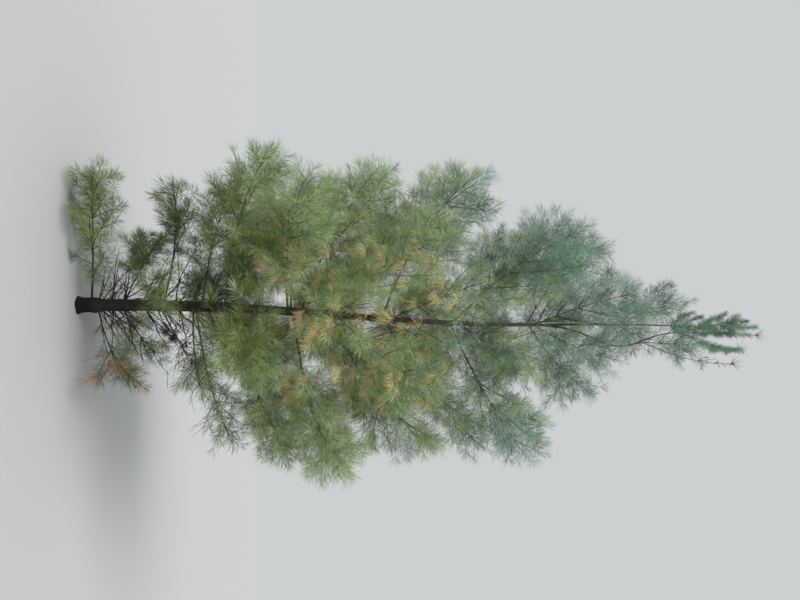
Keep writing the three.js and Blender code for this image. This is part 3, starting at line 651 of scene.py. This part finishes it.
def pineBark(name):
    # young white pine bark: thin, dull and dry, grey-brown with greyer patches and fine cracks along the wood
    colours, patchColour, patchShare, grain = barkKinds[name]
    look = barkLook
    material, tree = startMaterial(name)
    place = addNode(tree, "TexCoord").outputs["Object"]
    split = addNode(tree, "SeparateXYZ", links={0: place})
    height = addNode(tree, "MapRange", {"From Max": look["height"] / mmPerMetre}, {0: split.outputs["Z"]})
    byHeight = addNode(tree, "ValToRGB", links={0: height})
    setRamp(byHeight, [(share, colours[band]) for share, band in look["bands"]])
    # lichen and weathered grey in patches, kept off the darker foot
    patches = addNode(tree, "TexNoise", {"Scale": mmPerMetre / look["patchSize"], "Detail": 3.0},
                      {"Vector": place})
    patchy = addNode(tree, "MapRange", {"From Min": look["patchFrom"], "From Max": look["patchTo"],
                                        "To Max": patchShare}, {0: patches})
    clean = addNode(tree, "MapRange", {"From Min": look["cleanTo"], "From Max": look["patchyFrom"]},
                    {0: height})
    share = addNode(tree, "Math", {"operation": "MULTIPLY"}, {0: patchy, 1: clean})
    lichen = addNode(tree, "Mix", {"data_type": "RGBA", 7: colour(patchColour)}, {0: share, 6: byHeight})
    # fine cracks: noise drawn out along the wood, dark in its hollows
    stretched = addNode(tree, "Mapping", {"Scale": (1, 1, look["stretch"])}, {"Vector": place})
    streaks = addNode(tree, "TexNoise", {"Scale": mmPerMetre / grain, "Detail": 5.0, "Roughness": 0.62},
                      {"Vector": stretched})
    streakRamp = addNode(tree, "ValToRGB", links={0: streaks})
    setRamp(streakRamp, look["streaks"])
    streaked = addNode(tree, "Mix", {"data_type": "RGBA", "blend_type": "MULTIPLY", 0: look["streakShare"]},
                       {6: lichen.outputs[2], 7: streakRamp})
    bump = addNode(tree, "Bump", {"Strength": look["bump"], "Distance": look["bumpDepth"] * metresPerMm},
                   {"Height": streaks})
    shader = addNode(tree, "BsdfPrincipled", {"Roughness": look["roughness"], "IOR": look["ior"]},
                     {"Base Color": streaked.outputs[2], "Normal": bump})
    addNode(tree, "OutputMaterial", links={"Surface": shader})
    return material


print("trunk and leader")
trunkLimbs = [limb for limb in limbs if limb["whorl"] not in ("crook", "spire", "top")]
leaderLimbs = [limb for limb in limbs if limb["whorl"] in ("crook", "spire")]
trunkBarkMaterial = pineBark("PineBarkTrunk")
trunkMesh = stemMesh(trunkAxis, trunkRadius, 0, trunkShape["topHeight"],
                     trunkBark["sides"], trunkBark["ringSpacing"], trunkLimbs, True)
addPiece("trunkBark", trunkMesh, trunkBarkMaterial, ["trunk"])
leaderMesh = stemMesh(leaderAxis, leaderRadius, leaderShape["forkHeight"], leaderShape["topHeight"],
                      trunkBark["leaderSides"], trunkBark["leaderSpacing"], leaderLimbs, False)
addPiece("leaderBark", leaderMesh, trunkBarkMaterial, ["leader"])

# Boughs: tapering wood with a collar at the root and shallow plates of bark. Lengths in mm.
boughWood = dict(
    share=0.86, tipRadius=1.9, collar=0.4, plateDepth=0.1, platesAround=5, plateLength=26,
    rings=(10, 20), fineRings=(16, 11),   # sides, spacing; fine on the six that are solids of their own
)
twigWood = {   # radius at the root, more for each mm of length, radius at the tip, sides, ring spacing
    "twig": (1.6, 0.0075, 1.2, 5, 60),
    "shoot": (1.3, 0.006, 1.1, 4, 60),
    "finer": (1.2, 0.005, 1.0, 4, 70),
    "last": (1.0, 0.004, 0.9, 3, 120),
    "end": (0.9, 0.004, 0.8, 3, 150),
}
woodShape = dict(
    power=0.85, collar=0.35, collarReach=2.2, wobble=0.05, smoothFrom=6,
    nearlyUpright=0.2,   # level share of a direction below which rings start from the x axis
)


def woodTube(points, length, rootRadius, tipRadius, sides, spacing, collar=woodShape["collar"],
             wobble=woodShape["wobble"], plated=False):
    # a tapering branch with a collar at its root, uneven along its length, with plates of bark if it is thick
    w, b = woodShape, boughWood
    count = max(1, int(length / spacing))
    share = np.linspace(0, 1, count + 1)
    source = np.linspace(0, 1, len(points))
    path = np.stack([np.interp(share, source, points[:, k]) for k in range(3)], 1)
    if len(path) > w["smoothFrom"]:
        path[1:-1] = (path[:-2] + 2 * path[1:-1] + path[2:]) / 4
    radii = tipRadius + (rootRadius - tipRadius) * (1 - share) ** w["power"]
    radii *= 1 + collar * np.exp(-share * length / (w["collarReach"] * rootRadius)) \
        + wobble * (2 * rng.random(len(share)) - 1)
    if plated:
        around, along = np.meshgrid(np.arange(sides) / sides, share)
        plates = smoothNoise(rng, around, along, b["platesAround"], int(length / b["plateLength"]))
        radii = radii[:, None] * (1 + b["plateDepth"] * (2 * plates - 1))
    return tubeMesh(path, radii, sides, turn=rng.random() * fullTurn)


def boughTube(own):
    b = boughWood
    sides, spacing = b["fineRings"] if own["ownBough"] else b["rings"]
    collar = 0 if own["upright"] else b["collar"]
    return woodTube(own["axis"]["points"], own["axis"]["length"], b["share"] * own["rootRadius"],
                    b["tipRadius"], sides, spacing, collar, plated=True)


def twigTube(branch):
    root, perLength, tip, sides, spacing = twigWood[branch["kind"]]
    length = branch["axis"]["length"]
    return woodTube(branch["axis"]["points"], length, root + perLength * length, tip, sides, spacing)


# Where shoots are bare: near the trunk on the side in view, and in front of it, so that it shows as it does
# in the photograph, and under the lowest boughs on the right. Lengths in mm, shares of the shoots.
shade = dict(
    below=3900, radius=190, share=0.45,
    frontAbove=900, frontWidth=90, frontDepth=1150, frontShare=0.85,
    bareUnder={"skirt_right": 990, "skirt_front_right": 960},
)
needleWood = dict(   # mm from the tip that hold needles, by kind of branch
    stem=440, twig=340, shoot=320, finer=320, last=270, end=200,
    bareRoot=12,   # mm at the root of every branch
    middle=0.6,    # where along a branch its place in the crown is read
)


def isShaded(own, point, luck):
    s = shade
    x, y = (point - trunkAxis(point[2]))[:2]
    if point[2] < s["bareUnder"].get(own["name"], 0):
        return True
    if y >= 0 or point[2] > s["below"]:
        return False
    inFront = point[2] > s["frontAbove"] and abs(x) < s["frontWidth"] and y > -s["frontDepth"]
    return (inFront and luck < s["frontShare"]) or (math.hypot(x, y) < s["radius"] and luck < s["share"])


def growMass(own):
    # the bough's wood, then its twigs and shoots by the rule, then finer ones, and where each holds needles
    axis, zone = own["axis"], zoneOfWhorl[own["whorl"]]
    allowed = ownSpace(own, limbs)
    draw = seededRandom(own["seed"] + seeds["finer"])
    (boughStack if own["ownBough"] else twigStacks[zone]).append(boughTube(own))
    branches = [{"axis": axis, "kind": "stem", "from": own["bareLength"], "green": True}]
    for twig in growTwigs(own, allowed):
        branches.append({"axis": twig["axis"], "kind": "twig", "from": 0, "green": twig["green"]})
        branches += [{"axis": shoot, "kind": "shoot", "from": 0, "green": True} for shoot in twig["shoots"]]
    taken = [np.concatenate([spineOf(branch["axis"]) for branch in branches])]
    for branch in branches:
        # the list grows while it is gone through, so that every new shoot carries its own in turn
        if branch["kind"] in finerKinds and own["name"] != finerGrowth["without"]:
            first = firstShoot(own) if branch["kind"] == "stem" else 0
            branches += growFiner(branch, own, first + finerGrowth["clearRoot"], allowed, taken, draw)
    for branch in branches:
        axis, kind = branch["axis"], branch["kind"]
        if kind != "stem":
            twigStacks[zone].append(twigTube(branch))
        middle = pointOn(axis, needleWood["middle"] * axis["length"])
        if isShaded(own, middle, draw()):
            branch["green"] = False
        first = max(branch["from"], needleWood["bareRoot"], axis["length"] - needleWood[kind])
        sprays.append({"axis": axis, "own": own, "kind": kind, "zone": zone, "from": first,
                       "green": branch["green"]})


print("growing")
boughStack = []
twigStacks = {zone: [] for zone in zones}
sprays = []           # every stretch of wood that can carry needles
for own in limbs:
    growMass(own)
print("  sprays", len(sprays), "with needles", sum(1 for spray in sprays if spray["green"]))

# Dead limbs: fans of thin bare twigs round the lower trunk, in whorls as they once grew. Lengths in mm.
deadWood = dict(
    heights=(150, 255, 345, 480, 610, 745, 880, 1000), heightVariation=8, perWhorl=12,
    turnShare=0.5,        # how much of its share of the turn a limb may stray
    length=(280, 740), rise=(6, 44), lift=16, swing=14,
    rootRadius=(3.6, 6.4), thickestFrom=600, collar=0.5, wobble=0.12, steps=12,
    tube=(1.3, 5, 45),    # tip radius, sides, ring spacing
    kink=8,               # how far a limb strays at each of its joints
    shorterUp=0.35,       # share of its length that a limb loses for each metre further up
    sideTwigs=6, sideFrom=0.28, sideRange=0.66, sideAngle=(26, 56), sideLength=(70, 220),
    sideShorter=1.15, sideLift=8, sideTube=(2.1, 0.7, 3, 60), gap=8,
)


def growDeadLimbs():
    d = deadWood
    draw = seededRandom(seeds["deadLimbs"])
    stack, tips = [], []
    for height in d["heights"]:
        turn = 360 * draw()
        for k in range(d["perWhorl"]):
            azimuth = turn + 360 * (k + d["turnShare"] * draw()) / d["perWhorl"]
            start = trunkAxis(height + vary(d["heightVariation"], draw))
            length = between(d["length"], draw()) * (1 - d["shorterUp"] * height / mmPerMetre)
            rise = between(d["rise"], draw())
            swing = vary(d["swing"], draw)
            limb = bentAxis(start, azimuth, rise, length, d["lift"] * draw(), swing, d["steps"])
            limb["points"][1:] += np.cumsum(d["kink"] * rng.normal(size=(d["steps"], 3)), 0)
            limb["points"][:, 2] = np.maximum(limb["points"][:, 2], d["gap"])
            root = between(d["rootRadius"], length / d["thickestFrom"])
            stack.append(woodTube(limb["points"], length, root, *d["tube"], d["collar"], d["wobble"]))
            for n in range(d["sideTwigs"]):
                place = length * (d["sideFrom"] + d["sideRange"] * (n + draw()) / d["sideTwigs"])
                angle, roll = between(d["sideAngle"], draw()), 360 * draw()
                sideLength = between(d["sideLength"], draw()) * (d["sideShorter"] - place / length)
                side = branchFrom(limb, place, angle, roll, sideLength, d["sideLift"], 0)
                if min(point[2] for point in side["points"]) > d["gap"]:
                    stack.append(woodTube(side["points"], side["length"], *d["sideTube"]))
                    tips.append(side)
    return stack, tips


print("dead limbs")
deadStack, deadTips = growDeadLimbs()

needleShape = dict(
    width=2.5,            # mm, about twice life, so that fewer needles still close the tufts
    bundleSpacing=10.4,   # mm along the shoot, wider than life for the same reason
    leastBundles=3, alongPower=0.92, perBundle=5, spread=15, sag=0.06,
    oldFrom=200, anglePower=0.7, angleVariation=9, droopShares=(0.3, 0.7),
    lengthVariation=0.1, leastShare=0.95, moreShare=0.1, groundClearance=1,
)
needleHabits = {
    # how bundles stand: needle length, angle from the shoot at its tip and on older wood, droop, density
    "brush": (106, 24, 62, 0.12, 1),
    "column": (72, 18, 42, 0, 3.2),
    "dense": (92, 24, 60, 0.25, 2.2),
    "sparse": (98, 30, 60, 0.5, 1.3),
    "thin": (98, 28, 58, 0.3, 0.65),
    "veil": (104, 34, 62, 0.8, 1.25),
    "hanging": (96, 30, 50, 1.2, 1.1),
    "tassel": (108, 44, 60, 2.2, 1.4),
    "bristle": (46, 52, 74, 0, 0.22),
    "clump": (66, 60, 80, 1.8, 6),
}


def needleMesh(axis, first, last, habit):
    # bundles of five blades along a stretch of shoot, each blade a kite of two triangles
    n = needleShape
    needleLength, tipAngle, oldAngle, droop, density = needleHabits[habit]
    count = max(n["leastBundles"], int((last - first) * density / n["bundleSpacing"]))
    along = np.sort(first + (last - first) * rng.random(count) ** n["alongPower"])
    share = along / axis["length"] * (len(axis["points"]) - 1)
    i = np.minimum(share.astype(int), len(axis["points"]) - 2)
    rest = (share - i)[:, None]
    base = axis["points"][i] * (1 - rest) + axis["points"][i + 1] * rest
    forward = unitRows(axis["points"][i + 1] - axis["points"][i])
    left = np.cross(np.array((0.0, 0.0, 1.0)), forward)
    left /= np.maximum(np.linalg.norm(left, axis=1), 1e-6)[:, None]
    top = np.cross(forward, left)
    roll = fullTurn * goldenShare * np.arange(count) + rng.random() * fullTurn
    old = np.clip((last - along) / n["oldFrom"], 0, 1)
    angle = np.radians(tipAngle + (oldAngle - tipAngle) * old ** n["anglePower"]
                       + n["angleVariation"] * (rng.random(count) * 2 - 1))
    out = left * np.cos(roll)[:, None] + top * np.sin(roll)[:, None]
    heading = forward * np.cos(angle)[:, None] + out * np.sin(angle)[:, None]
    least, more = n["droopShares"]
    heading[:, 2] -= droop * (least + more * old)
    size = needleLength * (1 + n["lengthVariation"] * (rng.random(count) * 2 - 1))
    per = n["perBundle"]
    blades = (count * per, 3)
    base = np.repeat(base, per, 0)
    heading = np.repeat(unitRows(heading), per, 0) + math.radians(n["spread"]) * rng.normal(size=blades)
    heading = unitRows(heading)
    size = np.repeat(size, per) * (n["leastShare"] + n["moreShare"] * rng.random(count * per))
    across = unitRows(np.cross(heading, rng.normal(size=blades)))
    sag = np.array((0.0, 0.0, -1.0)) * (n["sag"] * size)[:, None]
    middle = base + heading * (0.5 * size)[:, None] - sag * 0.5
    tip = base + heading * size[:, None] + sag
    half = across * (0.5 * n["width"])
    vertices = np.stack((base, middle - half, middle + half, tip), 1).reshape(-1, 3)
    vertices[:, 2] = np.maximum(vertices[:, 2], n["groundClearance"])
    corner = np.arange(count * per)[:, None] * 4
    return vertices, np.concatenate((corner + np.array((0, 1, 2)), corner + np.array((1, 3, 2))))


needleLook = dict(
    tuftSize=111, bladeSize=6.25, paleFrom=0.7, paleTo=1.3, roughness=0.6, ior=1.4,
)


def pineNeedles(name, base, pale):
    # living pine needles: thin waxy blades, dull green with a soft shine, paler where their white lines show;
    # one noise as wide as a tuft and one as short as a few blades deal out the paler shade
    look = needleLook
    material, tree = startMaterial(name)
    place = addNode(tree, "TexCoord").outputs["Object"]
    tufts, blades = (addNode(tree, "TexNoise", {"Scale": mmPerMetre / look[size], "Detail": 2.0},
                             {"Vector": place}) for size in ("tuftSize", "bladeSize"))
    both = addNode(tree, "Math", {"operation": "ADD"}, {0: tufts, 1: blades})
    share = addNode(tree, "MapRange", {"From Min": look["paleFrom"], "From Max": look["paleTo"]}, {0: both})
    mix = addNode(tree, "Mix", {"data_type": "RGBA", 6: colour(base), 7: colour(pale)}, {0: share})
    shader = addNode(tree, "BsdfPrincipled", {"Roughness": look["roughness"], "IOR": look["ior"]},
                     {"Base Color": mix.outputs[2]})
    addNode(tree, "OutputMaterial", links={"Surface": shader})
    return material


# Base and pale colour of each kind of needle: green low in the crown, bluer higher up, ochre where the
# second year's needles turn, rust on the dead spray, plum on the starved spike, dark litter caught on twigs.
needleColours = {
    "GreenFresh": ("#667a31", "#889a51"),
    "GreenPale": ("#7b8d42", "#9daa62"),
    "GreenDeep": ("#4a5c27", "#687a3f"),
    # Sage: a paler grey-green for the middle of the crown, partly its own colour and partly painted light
    # that lifts the self-shadowed middle
    "SageFresh": ("#859f66", "#aac08a"),
    "SagePale": ("#9bb178", "#bdce9b"),
    "SageDeep": ("#647d50", "#89a070"),
    "BlueFresh": ("#74977e", "#a0bda5"),
    "BluePale": ("#93b09f", "#bcd0c2"),
    "BlueDeep": ("#567562", "#7c9986"),
    "Ochre": ("#dfc67c", "#f2e0ab"),
    "Rust": ("#8e5c38", "#bb8a61"),
    "Plum": ("#5a4a4c", "#7d6a6a"),
    "Litter": ("#2b1d18", "#4a3529"),
}
colourRule = dict(
    # the sage family between green and blue is paler partly as painted light on the shaded middle of the
    # crown
    families={"Sage": (1250, 2250), "Blue": (2750, 4300)},   # mm: where each begins and has taken over
    outward=0.9, outFrom=500,   # and how much lower that is for each mm further out
    paleShare=0.3, freshShare=0.75,
    noPale=("straight", "crook", "spire", "top"), noPaleBelow=1250, noPaleFrom=0.4,
    rustBeyond=520, rustShares=(0.2, 0.55),   # on foot_right: mm from the trunk, within and beyond
    # painted shade: the lowest boughs, under the crown, are given mostly the deep greens
    own={
        "low_left": ("GreenDeep",), "foot_right": ("GreenDeep",), "foot_left": ("GreenDeep", "GreenFresh"),
        "bare_left": ("GreenDeep", "SageDeep"), "bare_front": ("GreenDeep", "GreenFresh", "SageDeep"),
    },
)
# The second year's needles that turn: where in the crown, in mm, how many, how long a stretch.
turning = dict(
    heights=(1500, 2950), depth=(150, 850), share=0.25, backShare=0.1, length=120,
    whereFrom=0.1, whereRange=0.4,
)


def chooseColour(spray, draw):
    rule, own = colourRule, spray["own"]
    place = pointOn(spray["axis"], needleWood["middle"] * spray["axis"]["length"])
    depth = math.hypot(*(place - trunkAxis(place[2]))[:2])
    height = place[2] + rule["outward"] * (depth - rule["outFrom"])
    pick = draw()
    if own["name"] == "foot_right" and pick < rule["rustShares"][depth > rule["rustBeyond"]]:
        return "Rust"
    if own["name"] in rule["own"]:
        kinds = rule["own"][own["name"]]
        return kinds[int(pick * len(kinds))]
    luck, level = draw(), draw()
    if own["whorl"] in rule["noPale"] or place[2] < rule["noPaleBelow"]:
        level = rule["noPaleFrom"] + (1 - rule["noPaleFrom"]) * level
    family = "Green"
    for name, (low, high) in rule["families"].items():
        if luck < (height - low) / (high - low):
            family = name
    tone = "Pale" if level < rule["paleShare"] else "Fresh" if level < rule["freshShare"] else "Deep"
    return family + tone


ownHabits = {
    "bare_left": "hanging", "foot_left": "sparse", "low_left": "dense", "low_right": "sparse",
    "bare_front": "veil", "skirt_right": "thin", "skirt_front_right": "thin", "crook_right": "bristle",
}
bareTips = {"crook_top": 95, "spire_right": 45}   # mm at the end of the stem that hold no needles


def chooseHabit(own):
    usual = "column" if own["whorl"] in ("top", "spire") else "brush"
    return ownHabits.get(own["name"], usual)


print("needles")
stacks = {}
draw = seededRandom(seeds["colours"])


def addNeedles(zone, kind, axis, first, last, habit):
    stacks.setdefault((zone, kind), []).append(needleMesh(axis, first, last, habit))


def isWithin(value, limits):
    return limits[0] < value < limits[1]


for spray in sprays:
    axis, name = spray["axis"], spray["own"]["name"]
    kind = chooseColour(spray, draw)
    habit = chooseHabit(spray["own"])
    isFront = pointOn(axis, 0)[1] < 0
    turns = draw() < turning["share" if isFront else "backShare"]
    first = (turning["whereFrom"] + turning["whereRange"] * draw()) * axis["length"]
    if spray["green"]:
        last = axis["length"] - (bareTips.get(name, 0) if spray["kind"] == "stem" else 0)
        addNeedles(spray["zone"], "Plum" if habit == "bristle" else kind, axis, spray["from"], last, habit)
    start = pointOn(axis, first)
    depth = np.linalg.norm((start - trunkAxis(min(start[2], trunkShape["topHeight"])))[:2])
    inside = isWithin(start[2], turning["heights"]) and isWithin(depth, turning["depth"])
    if turns and inside and spray["kind"] != "stem" and axis["length"] > turning["length"]:
        last = min(first + turning["length"], axis["length"])
        addNeedles(spray["zone"], "Ochre", axis, first, last, "tassel")

# Bare stars at the ends of the spikes that stand free above the crown.
starShape = dict(
    limbs=("crook_top", "crook_right", "spire_right"), count=18, length=(70, 122), angle=(25, 84),
    depth=0.03, turnStep=0.382, lift=10, tube=(1.7, 0.8, 3, 50),
)
for own in limbs:
    if own["name"] not in starShape["limbs"]:
        continue
    s, axis = starShape, own["axis"]
    for k in range(s["count"]):
        length = between(s["length"], draw())
        place = axis["length"] * (1 - s["depth"] * draw())
        angle = between(s["angle"], draw())
        spine = branchFrom(axis, place, angle, 360 * k * s["turnStep"], length, s["lift"], 0)
        twigStacks["Upper"].append(woodTube(spine["points"], length, *s["tube"]))

# Dark clumps of old needles caught on the dead twigs near these places, and green tufts on a few twigs.
litter = dict(
    places=((330, -150, 760), (185, -180, 720), (230, -120, 790), (-170, -150, 640), (110, -220, 480)),
    clumps=3, clumpFrom=0.7, tuftEvery=9, tuftBeyond=90, tuftFrom=0.4,
)
for place in litter["places"]:
    nearest = sorted(deadTips, key=lambda side: np.linalg.norm(side["points"][-1] - place))
    for side in nearest[:litter["clumps"]]:
        addNeedles("Lower", "Litter", side, litter["clumpFrom"] * side["length"], side["length"], "clump")
for side in deadTips[::litter["tuftEvery"]]:
    if abs(side["points"][-1][0]) > litter["tuftBeyond"]:
        addNeedles("Lower", "GreenDeep", side, litter["tuftFrom"] * side["length"], side["length"], "brush")

print("pieces")
everyBough = [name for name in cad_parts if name.startswith("bough_")]
addPiece("boughBark", joined(boughStack), pineBark("PineBarkBoughs"), everyBough)
twigBarkMaterial = pineBark("PineBarkTwigs")
for zone, stack in twigStacks.items():
    addPiece(f"twigs{zone}", joined(stack), twigBarkMaterial, massesOfZone[zone])
addPiece("deadTwigs", joined(deadStack), pineBark("DeadPineTwigs"), massesOfZone["Lower"])
needleMaterials = {kind: pineNeedles(f"PineNeedles{kind}", *pair) for kind, pair in needleColours.items()}
for (zone, kind), stack in sorted(stacks.items()):
    addPiece(f"needles{zone}{kind}", joined(stack), needleMaterials[kind], massesOfZone[zone],
             smooth=False)

print("stage and camera")
# Plain pale studio: one floor as bright as the backdrop, soft light from the sky and a wide sun.
stageSetup = dict(
    floor="#c3c4c3", floorReach=60, floorRoughness=0.9, backdrop="#d7dadb", worldStrength=0.9,
    sunStrength=2.1, sunAngle=40, sunDirection=(0.45, 0.75, -1.0),
)
scene = bpy.context.scene
reach = stageSetup["floorReach"]
floorMesh = bpy.data.meshes.new("floor")
floorMesh.from_pydata([(-reach, -reach, 0), (reach, -reach, 0), (reach, reach, 0), (-reach, reach, 0)], [],
                      [(0, 1, 2, 3)])
floor = bpy.data.objects.new("floor", floorMesh)
scene.collection.objects.link(floor)
floorMaterial, tree = startMaterial("StudioFloor")
shader = addNode(tree, "BsdfPrincipled",
                 {"Base Color": colour(stageSetup["floor"]), "Roughness": stageSetup["floorRoughness"]})
addNode(tree, "OutputMaterial", links={"Surface": shader})
floorMesh.materials.append(floorMaterial)

world = bpy.data.worlds.new("studio")
scene.world = world
world.use_nodes = True
world.node_tree.nodes.clear()
background = addNode(world.node_tree, "Background",
                     {"Color": colour(stageSetup["backdrop"]), "Strength": stageSetup["worldStrength"]})
addNode(world.node_tree, "OutputWorld", links={"Surface": background})

sun = bpy.data.objects.new("keyLight", bpy.data.lights.new("keyLight", "SUN"))
sun.data.energy = stageSetup["sunStrength"]
sun.data.angle = math.radians(stageSetup["sunAngle"])
sun.rotation_euler = Vector(stageSetup["sunDirection"]).to_track_quat("-Z", "Y").to_euler()
scene.collection.objects.link(sun)

# The photograph was taken with the camera on its side, so its right edge is the top of the tree.
cameraSetup = dict(place=(-0.04, -5.23, 1.55), pitch=11.7, lens=26, sensor=34.6)   # m, degrees, mm
pitch = math.radians(cameraSetup["pitch"])
c, s = math.cos(pitch), math.sin(pitch)
camera = bpy.data.objects.new("camera", bpy.data.cameras.new("camera"))
camera.data.sensor_width = cameraSetup["sensor"]
camera.data.lens = cameraSetup["lens"]
camera.matrix_world = Matrix.Translation(cameraSetup["place"]) \
    @ Matrix(((0, -1, 0), (-s, 0, -c), (c, 0, -s))).to_4x4()
scene.collection.objects.link(camera)
scene.camera = camera
scene.view_settings.view_transform = "Standard"
